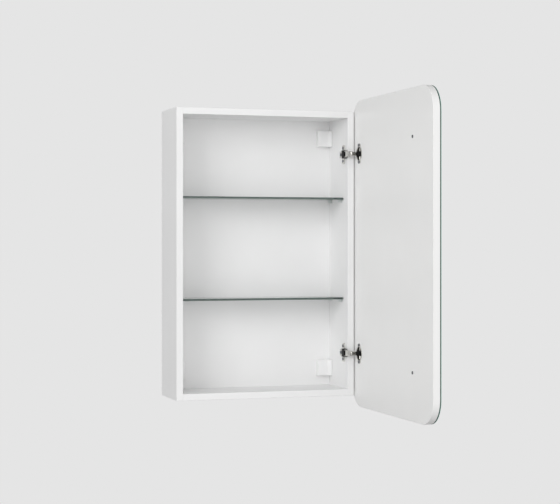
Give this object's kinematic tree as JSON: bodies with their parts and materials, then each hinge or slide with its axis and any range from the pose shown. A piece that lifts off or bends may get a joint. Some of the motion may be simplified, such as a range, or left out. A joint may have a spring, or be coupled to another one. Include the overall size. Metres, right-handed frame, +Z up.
{
  "type": "medicine cabinet with mirror",
  "caption": "Wall-hung medicine cabinet with a rounded mirror door on concealed hinges and glass shelves, door standing open.",
  "frame": {"origin": "centre of the rear plane of the cabinet body, the plane that lies on the wall", "axes": "+Z up, +Y into the wall, +X to the right as seen from the front; the door is modelled open 90 degrees on the right"},
  "size_m": [0.473, 0.63, 0.75],
  "materials": {
    "white_board": "white melamine faced chipboard",
    "white_back": "white faced fibreboard",
    "white_lacquer": "white lacquered fibreboard",
    "glass": "clear tempered glass, polished edges",
    "mirror_glass": "clear float glass, polished edges",
    "silvering": "silver coat under grey backing paint",
    "white_plastic": "moulded ABS",
    "black_plastic": "moulded acetal",
    "clear_plastic": "clear moulded polycarbonate",
    "clear_pad": "clear soft pad",
    "beech": "plain beech",
    "nickel": "nickel plated steel",
    "pin_steel": "ground steel",
    "screw_steel": "zinc plated steel"
  },
  "bodies": {
    "body": {"back_panel": "white_back", "bottom_dowels": "beech", "bottom_panel": "white_board", "bracket_screws": "screw_steel", "left_side_panel": "white_board", "lower_arm_pin": "pin_steel", "lower_arm_screw": "screw_steel", "lower_damper": "black_plastic", "lower_hinge_arm": "nickel", "lower_left_cover": "white_plastic", "lower_left_wall_bracket": "nickel", "lower_mounting_plate": "nickel", "lower_plate_screws": "screw_steel", "lower_right_cover": "white_plastic", "lower_right_wall_bracket": "nickel", "lower_shelf_glass": "glass", "lower_shelf_pads": "clear_pad", "lower_shelf_supports": "clear_plastic", "rear_spacers": "beech", "right_side_panel": "white_board", "top_dowels": "beech", "top_panel": "white_board", "upper_arm_pin": "pin_steel", "upper_arm_screw": "screw_steel", "upper_damper": "black_plastic", "upper_hinge_arm": "nickel", "upper_left_cover": "white_plastic", "upper_left_wall_bracket": "nickel", "upper_mounting_plate": "nickel", "upper_plate_screws": "screw_steel", "upper_right_cover": "white_plastic", "upper_right_wall_bracket": "nickel", "upper_shelf_glass": "glass", "upper_shelf_pads": "clear_pad", "upper_shelf_supports": "clear_plastic"},
    "door": {"door_board": "white_lacquer", "mirror_silvering": "silvering", "mirror_glass": "mirror_glass", "door_screws": "screw_steel", "upper_hinge_cup": "nickel", "upper_cup_pin": "pin_steel", "upper_cup_screws": "screw_steel", "lower_hinge_cup": "nickel", "lower_cup_pin": "pin_steel", "lower_cup_screws": "screw_steel"},
    "inner_links": {"upper_inner_link": "nickel", "upper_link_pin": "pin_steel", "lower_inner_link": "nickel", "lower_link_pin": "pin_steel"},
    "outer_links": {"upper_outer_link": "nickel", "lower_outer_link": "nickel"}
  },
  "joints": [
    {"name": "door_swing", "type": "hinge", "parent": "body", "child": "door", "pos_m": [0.228, -0.152, 0], "axis": [0, 0, 1], "range_deg": [-90, 5]},
    {"name": "inner_link_fold", "type": "hinge", "parent": "body", "child": "inner_links", "pos_m": [0.2055, -0.152, 0], "axis": [0, 0, 1], "range_deg": [-90, 5]},
    {"name": "outer_link_fold", "type": "hinge", "parent": "inner_links", "child": "outer_links", "pos_m": [0.2115, -0.169, 0], "axis": [0, 0, 1], "range_deg": [-5, 90]}
  ],
  "couplings": [
    {"joint": "inner_link_fold", "follows": "door_swing", "ratio": 1},
    {"joint": "outer_link_fold", "follows": "door_swing", "ratio": -1}
  ]
}
